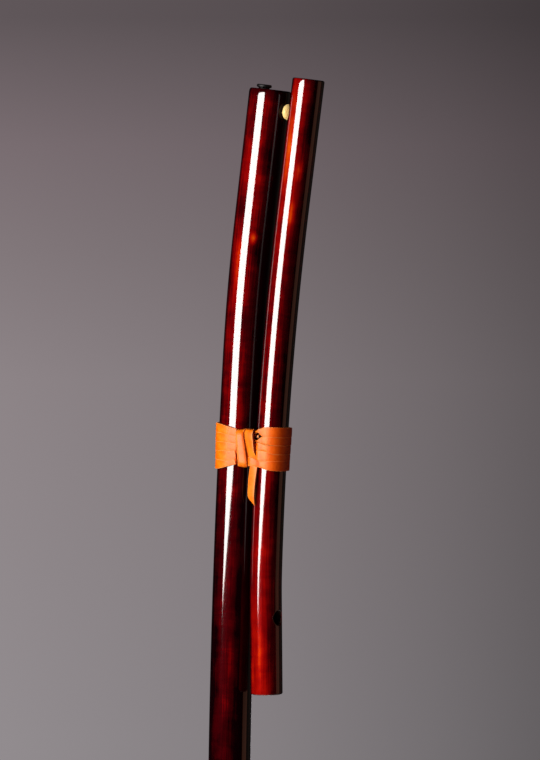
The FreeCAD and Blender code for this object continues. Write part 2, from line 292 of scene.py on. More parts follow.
def red_lacquer(name, stain, flames_and_painted_shade, unpolished):
    """Curly maple under a deep red stain and clear gloss lacquer, on a tube. The stain was wiped on by hand,
    so it is uneven: dark where it pooled, orange where it is thin. The thick polished coats mirror the room
    and blur it only a little. stain is a list of (height, lift) up the tube, flames_and_painted_shade of
    (place, half size, lift): the wood's lighter flames and dark patches, and some patches of painted shade on
    the flanks and under the lace. unpolished is the (place, half size) that a cloth can't reach well, where
    the shine is weaker."""
    material, tree, shader = new_material(name)
    grain = add(tree, "ShaderNodeAttribute", out="Vector", attribute_name="grain")
    pooled = add(tree, "ShaderNodeTexNoise", {"Vector": grain}, {"Distortion": 0.5}, size=(17, 17, 42))
    curl = add(tree, "ShaderNodeTexNoise", {"Vector": grain}, {"Distortion": 0.8}, size=(26, 26, 9))
    # The fibres are 0.1 mm wide, too fine to show, so their streaks are drawn 1.6 mm wide.
    fibres = add(tree, "ShaderNodeTexNoise", {"Vector": grain}, {"Roughness": 0.6}, size=(1.6, 1.6, 70))
    tone = summed(tree, (pooled, 0.43), (curl, 0.18), (fibres, 0.32))
    low, high = stain[0][0], stain[-1][0]
    height = add(tree, "ShaderNodeSeparateXYZ", {"Vector": grain}, out="Z")
    climb = add(tree, "ShaderNodeMapRange", {"Value": height}, {"From Min": low, "From Max": high})
    wiped = add(tree, "ShaderNodeValToRGB", {"Fac": climb},
                stops=[((at - low) / (high - low), [0.5 + lift] * 3 + [1]) for at, lift in stain])
    tone = summed(tree, (tone, 1.0), (wiped, 1.0))
    # Each entry lifts or lowers the tone round a place. Some of the entries are painted shade.
    for place, half, lift in flames_and_painted_shade:
        tone = add(tree, "ShaderNodeMath", {0: blob(tree, grain, place, half), 2: tone}, {1: lift},
                   operation="MULTIPLY_ADD")
    # Seen at a slant, the coats are thicker and the red is deeper.
    slant = add(tree, "ShaderNodeLayerWeight", {}, {"Blend": 0.5}, out="Facing")
    depth = add(tree, "ShaderNodeMapRange", {"Value": slant},
                {"From Min": 0.5, "From Max": 0.95, "To Max": 0.4})
    tone = add(tree, "ShaderNodeMath", {0: tone, 1: depth}, operation="SUBTRACT")
    wood = add(tree, "ShaderNodeValToRGB", {"Fac": tone}, stops=[
        (0.14, colour("0f0002")), (0.34, colour("3d0004")), (0.50, colour("770203")),
        (0.62, colour("990b03")), (0.74, colour("b82c03")), (0.90, colour("ce5208"))])
    # The glue line between the two halves is 0.1 mm wide, and is drawn about 0.4 mm wide.
    front = add(tree, "ShaderNodeSeparateXYZ", {"Vector": grain}, out="Y")
    off_line = add(tree, "ShaderNodeMath", {0: front}, operation="ABSOLUTE")
    glue = add(tree, "ShaderNodeMapRange", {"Value": off_line},
               {"From Min": 0.1, "From Max": 0.3, "To Min": 0.45})
    wood = add(tree, "ShaderNodeVectorMath", {"Vector": wood, "Scale": glue}, operation="SCALE")
    # Hand polishing leaves the coats wavy by a few thousandths of a millimetre. The pores sink them in specks
    # of 0.1 mm, too fine to show, which are drawn 0.8 mm wide.
    waves = add(tree, "ShaderNodeTexNoise", {"Vector": grain}, {"Detail": 1.0}, size=(3.0, 3.0, 7.0))
    pores = add(tree, "ShaderNodeTexNoise", {"Vector": grain}, {"Detail": 1.0}, size=(0.8, 0.8, 2.0))
    swell = add(tree, "ShaderNodeBump", {"Height": waves}, {"Strength": 1.0, "Distance": 0.006 * MM})
    skin = add(tree, "ShaderNodeBump", {"Height": pores, "Normal": swell},
               {"Strength": 1.0, "Distance": 0.0016 * MM})
    gloss = add(tree, "ShaderNodeMapRange", {"Value": blob(tree, grain, *unpolished)},
                {"From Max": 0.5, "To Min": 1.0, "To Max": 0.2})
    # The figured fibres glint under the lacquer, which spreads a red glow round each reflection.
    fit(tree, shader, {"Base Color": wood, "Normal": skin, "Coat Normal": skin, "Coat Weight": gloss},
        {"Metallic": 0.12, "Roughness": 0.5, "Specular IOR Level": 0.0, "Coat Roughness": 0.06,
         "Coat IOR": 1.5})
    return material


# The bores and the holes' walls are bare maple, oiled against the breath: dark, brown and without shine.
oiled_maple, oiled_tree, oiled_shader = new_material("oiled_maple")
oiled_grain = add(oiled_tree, "ShaderNodeAttribute", out="Vector", attribute_name="grain")
oiled_fibres = add(oiled_tree, "ShaderNodeTexNoise", {"Vector": oiled_grain}, {"Detail": 3.0},
                   size=(1.6, 1.6, 50))
oiled_clouds = add(oiled_tree, "ShaderNodeTexNoise", {"Vector": oiled_grain}, size=(12, 12, 40))
oiled_tone = summed(oiled_tree, (oiled_fibres, 0.8), (oiled_clouds, 0.4))
oiled_wood = add(oiled_tree, "ShaderNodeValToRGB", {"Fac": oiled_tone},
                 stops=[(0.3, colour("1d0d05")), (0.7, colour("4a2812"))])
fit(oiled_tree, oiled_shader, {"Base Color": oiled_wood}, {"Roughness": 0.62})

speaking_lacquer = red_lacquer(
    "lacquered_maple_speaking_tube",
    stain=[(0, -0.12), (700, -0.18), (1060, -0.20), (1200, -0.17), (1340, -0.09), (1500, -0.08),
           (1610, -0.03), (1636, -0.07), (1650, -0.26)],
    # Painted shade: the last entry darkens the right flank, which is turned away from the key lamp. The entry
    # at 1040 darkens the lower left flank that faces the lamp, so the shading across the tube is flatter. The
    # other entries are the wood's flames and dark patches.
    flames_and_painted_shade=[((12.4, -16.9, 1503), (5.5, 5.5, 8), 0.44), ((-0.8, -21, 1472), (7, 4, 46), 0.26),
            ((-2.4, -20.9, 1529), (9, 6, 22), -0.16), ((13.6, -16, 1486), (8, 8, 13), -0.14),
            ((14, -15.7, 1583), (9, 9, 22), -0.22), ((-8.9, -19, 1040), (14, 14, 460), -0.14),
            ((20.7, -3.6, 1200), (17, 17, 2400), -0.45)],
    unpolished=((20, -5, 1420), (10, 10, 440)))
main_line = Centreline(MAIN_RUNS)
speaking_tube = tube_blank("speaking_tube", main_line, MAIN_RADIUS, MAIN_BORE_RADIUS,
                           [speaking_lacquer, oiled_maple], crest=HEAD_ROUNDING_LENGTH)
finger_drills = [hole_drill(main_line, height, -1, MAIN_RADIUS, FINGER_HOLE_RADIUS, FINGER_HOLE_ROUNDING)
                 for height in FINGER_HOLE_HEIGHTS]
carved(speaking_tube, finger_drills + [window_gouge(main_line)])
mark_grain(speaking_tube, main_line)
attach(speaking_tube, "flute")
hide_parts("main_tube_left", "main_tube_right")

# ----------------------------------------------------------------------------------------------------------
# Voicing. A turned maple plug closes the top of the speaking tube and is stained with it. Below it a pale
# maple block leaves the narrow windway along the far wall. Both are glued in.


def end_grain(name, shades, roughness, coat):
    """Maple cut across its grain: faint growth rings about 4 mm apart, dotted with pores."""
    material, tree, shader = new_material(name)
    place = add(tree, "ShaderNodeTexCoord", out="Object")
    rings = add(tree, "ShaderNodeTexWave", {"Vector": place},
                {"Scale": 0.1, "Distortion": 5.0, "Detail": 2.0, "Detail Scale": 0.6}, size=(MM, MM, MM),
                bands_direction="DIAGONAL")
    pores = add(tree, "ShaderNodeTexNoise", {"Vector": place}, {"Detail": 3.0},
                size=(0.9 * MM, 0.9 * MM, 9 * MM))
    tone = summed(tree, (rings, 0.35), (pores, 0.9))
    wood = add(tree, "ShaderNodeValToRGB", {"Fac": tone},
               stops=[(0.25, colour(shades[0])), (0.75, colour(shades[1]))])
    bump = add(tree, "ShaderNodeBump", {"Height": pores}, {"Strength": 0.5, "Distance": 0.03 * MM})
    fit(tree, shader, {"Base Color": wood, "Normal": bump},
        {"Roughness": roughness, "Coat Weight": coat, "Coat Roughness": 0.12})
    return material


def finish(node, material):
    """Gives a CAD node its material."""
    nodes[node].data.materials.clear()
    nodes[node].data.materials.append(material)


# The plugs are stained with the tubes and lacquered thinly, which makes them dark red with a soft gloss. The
# block is left bare, pale and matt.
stained_ends = end_grain("stained_end_grain", ("260304", "7a1408"), roughness=0.35, coat=0.6)
pale_maple = end_grain("bare_maple", ("c79a62", "e6c48e"), roughness=0.55, coat=0.0)
finish("head_plug", stained_ends)
finish("fipple_block", pale_maple)

# ----------------------------------------------------------------------------------------------------------
# Stopper. Turned from hard black rubber: a flat head with a rounded rim on a narrower neck, and a stem that
# slides in the head plug. It shuts the port over the windway, and lifts out to drain it.

TURNED_AROUND = 72  # points round a turned piece
STOPPER_OFFSET = 8.0
STOPPER_OUTLINE = ((-10.0, 0.0), (-10.0, 3.0), (-9.0, 4.0), (-0.02, 4.0), (0.03, 5.0), (0.1, 5.6), (0.9, 5.5),
                   (1.3, 5.7), (1.5, 6.6), (1.7, 7.1), (2.1, 7.4), (3.4, 7.5), (3.9, 7.35), (4.25, 7.0),
                   (4.45, 6.4), (4.5, 5.4), (4.42, 3.0), (4.4, 0.0))


def turned(name, line, base, offset, outline, material):
    """A lathe-turned piece whose axis stands on a tube's line: outline is (height, radius) up its side."""
    turns = [2 * math.pi * k / TURNED_AROUND for k in range(TURNED_AROUND)]
    thinnest = 0.01
    rings = [[line.place(base + height, max(size, thinnest) * math.cos(turn) + offset,
                         max(size, thinnest) * math.sin(turn)) for turn in turns] for height, size in outline]
    points, faces = lofted(rings, closed=False)
    return piece_from(name, points, faces, [material])


# Ebonite: nearly black, with a satin polish that gives one soft light patch.
ebonite, ebonite_tree, ebonite_shader = new_material("black_ebonite")
ebonite_place = add(ebonite_tree, "ShaderNodeTexCoord", out="Object")
ebonite_bloom = add(ebonite_tree, "ShaderNodeTexNoise", {"Vector": ebonite_place}, {"Detail": 3.0},
                    size=[3 * MM] * 3)
ebonite_black = add(ebonite_tree, "ShaderNodeValToRGB", {"Fac": ebonite_bloom},
                    stops=[(0.35, colour("050405")), (0.7, colour("141113"))])
ebonite_dull = add(ebonite_tree, "ShaderNodeMapRange", {"Value": ebonite_bloom},
                   {"To Min": 0.40, "To Max": 0.56})
fit(ebonite_tree, ebonite_shader, {"Base Color": ebonite_black, "Roughness": ebonite_dull},
    {"Specular IOR Level": 0.2})
stopper = turned("stopper_turned", main_line, main_line.length, -STOPPER_OFFSET, STOPPER_OUTLINE, ebonite)
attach(stopper, "stopper")
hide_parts("stopper")

# ----------------------------------------------------------------------------------------------------------
# Wind spigot. A turned boxwood barrel between the heads of the two tubes, saddled to both, with a tenon in
# each wall. The one in the air tube has a cork sleeve, so that the flute comes apart. It carries the wind
# across.

SPIGOT_BELOW_TOP = 20.0
SPIGOT_GAP = 7.1
AIR_RADIUS = 15.9
SPIGOT_RADIUS = 8.0
SPIGOT_OVAL = 4.7
SPIGOT_REACH = 4.3
SPIGOT_STEPS = 12

# Boxwood, oiled: pale yellow, very even, with a hint of its grain along the barrel and a dull shine.
boxwood, boxwood_tree, boxwood_shader = new_material("oiled_boxwood")
boxwood_place = add(boxwood_tree, "ShaderNodeTexCoord", out="Object")
boxwood_grain = add(boxwood_tree, "ShaderNodeTexNoise", {"Vector": boxwood_place}, {"Detail": 3.0},
                    size=(14 * MM, 1.2 * MM, 1.2 * MM))
boxwood_wood = add(boxwood_tree, "ShaderNodeValToRGB", {"Fac": boxwood_grain},
                   stops=[(0.3, colour("fbd27c")), (0.7, colour("ffe59c"))])
fit(boxwood_tree, boxwood_shader, {"Base Color": boxwood_wood},
    {"Roughness": 0.42, "Specular IOR Level": 0.3})

# The barrel is a bead: an oval on the lathe, cut off where it meets the tubes.
spigot_foot, spigot_up, spigot_way = main_line.at(main_line.length - SPIGOT_BELOW_TOP)
spigot_rings = []
spigot_turns = [2 * math.pi * k / TURNED_AROUND for k in range(TURNED_AROUND)]
for step in range(SPIGOT_STEPS + 1):
    off_middle = SPIGOT_REACH * (2 * step / SPIGOT_STEPS - 1)
    size = SPIGOT_RADIUS * math.sqrt(1 - (off_middle / SPIGOT_OVAL) ** 2)
    ring_middle = spigot_foot + spigot_way * (MAIN_RADIUS + SPIGOT_GAP / 2 + off_middle)
    spigot_rings.append([ring_middle + spigot_up * (size * math.sin(a)) + Vector((0, size * math.cos(a), 0))
                         for a in spigot_turns])
barrel = piece_from("wind_spigot_barrel", *lofted(spigot_rings, closed=False), [boxwood])
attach(barrel, "flute")
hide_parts("wind_spigot")

# Cork sheet: brown, soft and matt, flecked with darker lenticels 1.5 mm apart.
cork, cork_tree, cork_shader = new_material("sheet_cork")
cork_place = add(cork_tree, "ShaderNodeTexCoord", out="Object")
cork_cells = add(cork_tree, "ShaderNodeTexVoronoi", {"Vector": cork_place}, size=[1.5 * MM] * 3)
cork_flecks = add(cork_tree, "ShaderNodeValToRGB", {"Fac": cork_cells},
                  stops=[(0.1, colour("6b4226")), (0.5, colour("b98552"))])
fit(cork_tree, cork_shader, {"Base Color": cork_flecks}, {"Roughness": 0.85})
finish("spigot_seal", cork)

# ----------------------------------------------------------------------------------------------------------
# Air tube. The shorter, narrower tube, made in the same way, that leads the breath from the blow hole near
# its foot up to the spigot. It has its own bend beside the speaking tube, and a glued plug in each end.

AIR_RUNS = ((97, 0.0), (24.5, 2.45), (364, 6.54), (124, 0.0))
AIR_FOOT_LEAN = -0.54
AIR_BORE_RADIUS = 10.0
SPIGOT_BELOW_AIR_TOP = 34.0
BLOW_HOLE_HEIGHT = 76.0
BLOW_HOLE_RADIUS = 7.2
BLOW_HOLE_ROUNDING = 1.1

air_line = Centreline(AIR_RUNS, tilt=AIR_FOOT_LEAN)
spigot_end = spigot_foot + spigot_way * (MAIN_RADIUS + SPIGOT_GAP + AIR_RADIUS)
air_line.low = spigot_end - air_line.at(air_line.length - SPIGOT_BELOW_AIR_TOP)[0]
air_lacquer = red_lacquer(
    "lacquered_maple_air_tube",
    stain=[(0, 0.03), (90, 0.03), (150, -0.03), (240, -0.10), (360, -0.08), (470, -0.03), (540, -0.03),
           (610, -0.06)],
    # Painted shade: the entry at 258 is a painted shadow on the tube where it shows through the gap between
    # the lace's turns. The last entry darkens the right flank, which is turned away from the key lamp. The
    # other entries are the wood's flames and dark patches.
    flames_and_painted_shade=[((-3.8, -15.6, 545), (9, 5, 95), 0.38), ((10.7, -11.6, 519), (5, 5, 12), 0.27),
            ((8.3, -13.5, 473), (4.5, 4.5, 22), 0.27), ((14.1, -7.0, 570), (10, 9, 30), -0.20),
            ((2.6, -15.7, 50), (4.5, 4.5, 62), 0.10), ((-7.7, -13.9, 30), (9, 7, 80), 0.10),
            ((11.5, -10.9, 55), (7, 7, 110), -0.08), ((-5.7, -14.8, 258), (7, 7, 10), -0.5),
            ((15.4, -2.7, 300), (12.6, 12.6, 1200), -0.36)],
    unpolished=((-15.6, 3, 400), (6, 6, 420)))
air_tube = tube_blank("air_tube", air_line, AIR_RADIUS, AIR_BORE_RADIUS, [air_lacquer, oiled_maple])
blow_drill = hole_drill(air_line, BLOW_HOLE_HEIGHT, 1, AIR_RADIUS, BLOW_HOLE_RADIUS, BLOW_HOLE_ROUNDING)
carved(air_tube, [blow_drill])
mark_grain(air_tube, air_line)
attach(air_tube, "flute")
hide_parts("air_tube_left", "air_tube_right")
finish("air_tube_top_plug", stained_ends)
finish("air_tube_foot_plug", stained_ends)

# ----------------------------------------------------------------------------------------------------------
# Lace. One long strip of tan harness leather, wound five times round both tubes. Its last part is frapped
# between them: one strand over everything, and one that passes under the lowest turn and hangs down as the
# tail.

LACE_BELOW_TOP = 356.0
LACE_WIDTH = 9.1
LACE_THICKNESS = 2.2
LACE_LIFT = 1.6
LACE_EDGE_WEAR = 0.35
LACE_CROWN = 0.12
STEPS_ROUND = 320

# The tubes' axes are about 39 mm apart at the lashing. That gives the height beside it on the air tube, where
# their true distance is measured.
ABOUT_APART = 39
lace_foot, lace_up, lace_across = main_line.at(main_line.length - LACE_BELOW_TOP)
air_beside = air_line.at(lace_foot.z + lace_across.z * ABOUT_APART - air_line.low.z)[0]
tubes_apart = (air_beside - lace_foot).dot(lace_across)
lace_lean = math.asin((MAIN_RADIUS - AIR_RADIUS) / tubes_apart)  # one tube is thicker, so flat stretches lean
lace_face = math.pi / 2 - lace_lean


def lace_place(across, front, height):
    """A point by its place in the lashing's own frame, from the speaking tube's axis at mid height."""
    return lace_foot + lace_across * across + Vector((0, front, 0)) + lace_up * height


def on_belt(way, height, lift):
    """A point at a height on a belt that is pulled tight round both tubes, and lift mm above them. way runs
    from 0 to 1 along the belt's flat front, to 2 round the air tube, to 3 along its back, and to 4 round the
    speaking tube."""
    part, share = int(way % 4), way % 1
    start, stop = ((-lace_face, -lace_face), (-lace_face, lace_face), (lace_face, lace_face),
                   (lace_face, 2 * math.pi - lace_face))[part]
    turn = start + (stop - start) * share
    out = Vector((math.cos(turn), math.sin(turn), 0))
    on_main, on_air = out * (MAIN_RADIUS + lift), out * (AIR_RADIUS + lift) + Vector((tubes_apart, 0, 0))
    spot = on_main.lerp(on_air, (share, 1.0, 1 - share, 0.0)[part])
    return lace_place(spot.x, spot.y, height)


def smooth_keys(keys, at, period):
    """The value at a place, on a smooth curve through (place, value) keys that may repeat after a period."""
    if period:
        keys = [(k - period, v) for k, v in keys[-2:]] + list(keys) + [(k + period, v) for k, v in keys[:2]]
    at = min(max(at, keys[0][0]), keys[-1][0])
    number = max(i for i in range(len(keys) - 1) if keys[i][0] <= at)
    (a, low), (b, high) = keys[number:number + 2]
    before, after = keys[max(number - 1, 0)], keys[min(number + 2, len(keys) - 1)]
    start = (high - before[1]) / (b - before[0]) * (b - a)
    stop = (after[1] - low) / (after[0] - a) * (b - a)
    t = (at - a) / (b - a)
    return ((2 * t ** 3 - 3 * t ** 2 + 1) * low + (t ** 3 - 2 * t ** 2 + t) * start
            + (3 * t ** 2 - 2 * t ** 3) * high + (t ** 3 - t ** 2) * stop)


def strap(name, centres, sideways, widths, closed, thickness=LACE_THICKNESS, crown=LACE_CROWN, raw=0.0):
    """A leather strap through centres, with its width along sideways. Its edges are cut square and worn
    round, and its faces are a little fuller in the middle, by crown. Each point is marked with its place on
    the hide, and with whether it is on a cut edge. raw is how bare the faces are of wax and dye."""
    count = len(centres)
    corner = [math.radians(22.5 * k) for k in range(5)]
    rings, marks, walked = [], [], 0.0
    for number, (centre, side, width) in enumerate(zip(centres, sideways, widths)):
        after = centres[(number + 1) % count] if closed or number < count - 1 else centre
        before = centres[number - 1] if closed or number else centre
        ahead = (after - before).normalized()
        side = (side - ahead * side.dot(ahead)).normalized()
        out = ahead.cross(side)
        half, thick = width / 2, thickness / 2
        edge = min(LACE_EDGE_WEAR, half * 0.9)
        ring = []
        for right, up in ((1, 1), (-1, 1), (-1, -1), (1, -1)):
            ring += [(right * (half - edge * (1 - math.cos(a))), up * (thick - edge * (1 - math.sin(a))), 1.0)
                     for a in (corner if up == right else reversed(corner))]
            if up == right:  # a face follows this corner
                ring += [(right * half * share, up * (thick + crown * (1 - share ** 2)), raw)
                         for share in (0.88, 0.5, 0.0, -0.5, -0.88)]
        rings.append([centre + side * u + out * v for u, v, cut in ring])
        marks += [(u, v, walked, cut) for u, v, cut in ring]
        walked += (after - centre).length
    piece = piece_from(name, *lofted(rings, closed), [tan_leather])
    hide = piece.data.attributes.new("hide", "FLOAT_VECTOR", "POINT")
    hide.data.foreach_set("vector", [value for u, v, along, cut in marks for value in (u, v, along)])
    cuts = piece.data.attributes.new("cut_edge", "FLOAT", "POINT")
    cuts.data.foreach_set("value", [cut for u, v, along, cut in marks])
    return piece


# Vegetable-tanned harness leather, dyed tan and waxed: a warm orange with a satin sheen, pores and faint
# creases, and paler raw cut edges. Shade is painted into its colour where it turns outwards round the air
# tube.
tan_leather, tan_tree, tan_shader = new_material("tan_harness_leather")
tan_hide = add(tan_tree, "ShaderNodeAttribute", out="Vector", attribute_name="hide")
tan_cut = add(tan_tree, "ShaderNodeAttribute", out="Fac", attribute_name="cut_edge")
tan_clouds = add(tan_tree, "ShaderNodeTexNoise", {"Vector": tan_hide}, {"Detail": 3.0, "Roughness": 0.6},
                 size=(7, 7, 16))
tan_pores = add(tan_tree, "ShaderNodeTexVoronoi", {"Vector": tan_hide}, size=(0.7, 0.7, 0.7))
tan_creases = add(tan_tree, "ShaderNodeTexNoise", {"Vector": tan_hide}, {"Distortion": 0.6}, size=(9, 3, 1.3))
tan_tone = summed(tan_tree, (tan_clouds, 1.0), (tan_creases, 0.35), (tan_pores, 0.15))
tan_face = add(tan_tree, "ShaderNodeValToRGB", {"Fac": tan_tone},
               stops=[(0.25, colour("e66206")), (0.5, colour("f87908")), (0.75, colour("ff8a16"))])
tan_edge = add(tan_tree, "ShaderNodeValToRGB", {"Fac": tan_clouds},
               stops=[(0.3, colour("f08838")), (0.7, colour("ffa55c"))])
tan_skin = add(tan_tree, "ShaderNodeMix", {0: tan_cut, 6: tan_face, 7: tan_edge}, out=2, data_type="RGBA")
tan_way_out = add(tan_tree, "ShaderNodeNewGeometry", out="Normal")
tan_outer = add(tan_tree, "ShaderNodeVectorMath", {0: tan_way_out}, {1: lace_across}, out="Value",
                operation="DOT_PRODUCT")
# Painted shade: the colour darkens where the leather's surface faces outwards round the air tube, away from
# the key lamp.
tan_painted_shade = add(tan_tree, "ShaderNodeValToRGB", {"Fac": tan_outer},
               stops=[(0.3, [1.0] * 4), (0.6, (0.86, 0.50, 0.34, 1.0)), (0.9, (0.38, 0.18, 0.12, 1.0))])
tan_skin = add(tan_tree, "ShaderNodeVectorMath", {0: tan_skin, 1: tan_painted_shade}, operation="MULTIPLY")
tan_relief = add(tan_tree, "ShaderNodeBump", {"Height": tan_pores}, {"Strength": 0.6, "Distance": 0.05 * MM})
tan_relief = add(tan_tree, "ShaderNodeBump", {"Height": tan_creases, "Normal": tan_relief},
                 {"Strength": 0.6, "Distance": 0.12 * MM})
tan_gloss = add(tan_tree, "ShaderNodeMapRange", {"Value": tan_clouds}, {"To Min": 0.34, "To Max": 0.44})
fit(tan_tree, tan_shader, {"Base Color": tan_skin, "Normal": tan_relief, "Roughness": tan_gloss},
    {"Specular IOR Level": 0.16})

# Each turn's upper and lower edge, as (way round the belt, mm from mid height) keys. The turns lie edge to
# edge on the speaking tube, are drawn together under the strands, and splay again on the air tube.
TURN_EDGES = (
    (((0.02, 20.2), (0.25, 18.2), (0.42, 15.4), (0.62, 15.0), (0.77, 17.4), (0.87, 20.3), (1.01, 22.1),
      (1.25, 22.5), (1.7, 22.3), (2.1, 22), (2.5, 18.5), (2.9, 21), (3.2, 22.7), (3.8, 22.7)),
     ((0.02, 12), (0.25, 10.7), (0.42, 9.6), (0.62, 10.5), (0.77, 16.4), (0.87, 15.7), (0.98, 12.9),
      (1.25, 12.7), (1.7, 12.9), (2.1, 13), (2.5, 11.3), (2.9, 12.4), (3.2, 13.5), (3.8, 13.5))),
    (((0.02, 12.6), (0.25, 11.2), (0.42, 10.2), (0.62, 10), (0.78, 8.4), (0.87, 9.9), (0.98, 12.7),
      (1.25, 12.5), (1.7, 12.7), (2.1, 13.1), (2.5, 11.5), (2.9, 12.6), (3.2, 14.0), (3.8, 14.0)),
     ((0.02, 4.2), (0.25, 3.8), (0.42, 3.4), (0.62, 4.5), (0.78, 8.1), (0.87, 6.7), (1.01, 5.4), (1.25, 4.7),
      (1.7, 4.8), (2.1, 4.5), (2.5, 3.7), (2.9, 4.1), (3.2, 4.5), (3.8, 4.5))),
    (((0.02, 4.8), (0.25, 4.3), (0.42, 4), (0.62, 4.5), (0.78, 6.6), (0.87, 6.4), (1.01, 5.2), (1.25, 4.5),
      (1.7, 4.6), (2.1, 4.4), (2.5, 3.9), (2.9, 4.4), (3.2, 5.0), (3.8, 5.0)),
     ((0.02, -3.9), (0.25, -3.3), (0.42, -3), (0.62, -2.2), (0.87, -1.3), (1.05, -1.6), (1.2, -3.9),
      (1.7, -3.9), (2.1, -4.4), (2.5, -3.9), (2.9, -4.3), (3.2, -4.5), (3.8, -4.5))),
    (((0.02, -3.3), (0.25, -2.7), (0.42, -2.6), (0.62, -1.8), (0.87, -1.4), (1.05, -1.8), (1.2, -4.1),
      (1.7, -4.1), (2.1, -4.4), (2.5, -3.7), (2.9, -4.1), (3.2, -4.0), (3.8, -4.0)),
     ((0.02, -13.9), (0.25, -10.7), (0.42, -9.5), (0.62, -8.9), (0.87, -11.2), (1.05, -11.4), (1.25, -10.9),
      (1.7, -10.9), (2.1, -12), (2.5, -11), (2.9, -12.5), (3.2, -13.4), (3.8, -13.3))),
    (((0.02, -13.3), (0.25, -10), (0.42, -8.6), (0.61, -8.5), (0.73, -9), (0.9, -11.3), (1.15, -11),
      (1.7, -10.4), (2.1, -11.8), (2.5, -10.8), (2.9, -12.3), (3.2, -13.2), (3.8, -13.1)),
     ((0.02, -18.9), (0.25, -16.4), (0.42, -15.4), (0.61, -16.6), (0.77, -17.1), (0.97, -18.2), (1.13, -20),
      (1.3, -20.5), (1.7, -20.3), (2.1, -20.6), (2.5, -18), (2.9, -20.5), (3.2, -22.5), (3.8, -22.7))))
# How far each turn is lifted: (way round the belt, mm) keys where it rises beside the strands, then round the
# air tube, then round the speaking tube.
TURN_LIFTS = (
    (((0.62, -6), (0.70, -4.6), (0.76, -1.7), (0.80, -0.4)), 1.0, 0.4),
    (((0.62, -6), (0.70, -4.6), (0.76, -1.7), (0.80, -0.4)), 0.8, 0.2),
    (((0.62, -6), (0.70, -4.8), (0.795, -2.7), (0.84, -0.1)), 0.5, 0.0),
    (((0.62, -6), (0.70, -4.8), (0.795, -2.7), (0.84, -0.1)), 0.3, -0.3),
    (((0.56, -4), (0.60, -0.4), (0.635, 1.2), (0.73, 1.7), (0.82, 1.3)), 0.2, -0.6))
lace_pieces = []
for number, ((tops, bottoms), (rise, outer, inner)) in enumerate(zip(TURN_EDGES, TURN_LIFTS)):
    dive = 0.216 + 0.003 * number  # where it leaves the speaking tube and sinks between the two
    lifts = ((0.02, 0.2), (0.19, 0.2), (dive, -0.2), (dive + 0.015, -2.5), (0.3, -3.6), (0.42, -3.8), *rise,
             (0.95, 0.1), (1.3, outer * 0.6), (1.7, outer), (2.1, 0), (2.35, -1.6), (2.5, -2.2), (2.65, -1.6),
             (2.9, 0), (3.3, inner), (3.68, inner), (3.9, 0.2))
    centres, widths = [], []
    for step in range(STEPS_ROUND):
        way = 4 * step / STEPS_ROUND
        top, bottom = (smooth_keys(keys, way, period=4) for keys in (tops, bottoms))
        centres.append(on_belt(way, (top + bottom) / 2, LACE_LIFT + smooth_keys(lifts, way, period=4)))
        widths.append(top - bottom)
    turn = strap("lace_turn_%d" % (number + 1), centres, [lace_up] * STEPS_ROUND, widths, closed=True)
    lace_pieces.append(turn)


def strand(name, stops, closed, crown, steps=10):
    """A strap drawn smoothly through stops of (point, sideways, width)."""
    period = len(stops) if closed else None

    def curve(pick, at):
        return smooth_keys([(i, pick(stop)) for i, stop in enumerate(stops)], at, period)

    centres, sideways, widths = [], [], []
    for step in range(steps * len(stops) if closed else steps * (len(stops) - 1) + 1):
        at = step / steps
        centres.append(Vector([curve(lambda stop: stop[0][axis], at) for axis in range(3)]))
        sideways.append(Vector([curve(lambda stop: stop[1][axis], at) for axis in range(3)]).normalized())
        widths.append(curve(lambda stop: stop[2], at))
    return strap(name, centres, sideways, widths, closed, crown=crown)


# The middle of the gap between the tubes, and then the ways that a strand's width lies: on the lashing's
# front and back, where it dives at either, where it leans into the gap, and where the tail hangs.
between = (MAIN_RADIUS + tubes_apart - AIR_RADIUS) / 2
front = lace_across.lerp(Vector((0, 1, 0)), 0.2).normalized()
back = lace_across.lerp(Vector((0, -1, 0)), 0.12).normalized()
slant = (front + lace_up).normalized()
slant_back = (back + lace_up).normalized()
turned_in = (front + 0.36 * front.cross(lace_up)).normalized()
trailing = lace_across.lerp(Vector((0, -1, 0)), 0.08).normalized()
over_strand = strand("lace_over_strand", [
    (on_belt(0.470, -15.2, 4.4), front, 9.5),
    (on_belt(0.443, -8, 4.6), front, 9.3),
    (on_belt(0.405, 0, 4.7), front, 8.9),
    (on_belt(0.370, 7.5, 4.6), front, 8.6),
    (on_belt(0.343, 14.0, 4.0), front, 8.2),
    (on_belt(0.36, 16.5, 1.6), front, 8.0),
    (on_belt(0.43, 16.0, -3.0), slant, 8.0),
    (lace_place(between, -6, 14.5), lace_up, 8.0),
    (lace_place(between, 6, 14.5), lace_up, 8.0),
    (on_belt(2.57, 17.6, -1.0), slant_back, 8.0),
    (on_belt(2.6, 19.4, 2.4), back, 8.4),
    (on_belt(2.6, 15.5, 4.3), back, 8.8),
    (on_belt(2.6, 0, 4.4), back, 9.0),
    (on_belt(2.6, -15.5, 4.3), back, 8.8),
    (on_belt(2.6, -18.9, 2.4), back, 8.4),
    (on_belt(2.57, -17.2, -1.0), slant_back, 8.0),
    (lace_place(between, 6, -13), lace_up, 8.0),
    (lace_place(between, -6, -13), lace_up, 8.0),
    (on_belt(0.47, -16.0, -3.0), slant, 8.2),
    (on_belt(0.44, -17.2, 1.4), front, 9.0),
], closed=True, crown=0.5)
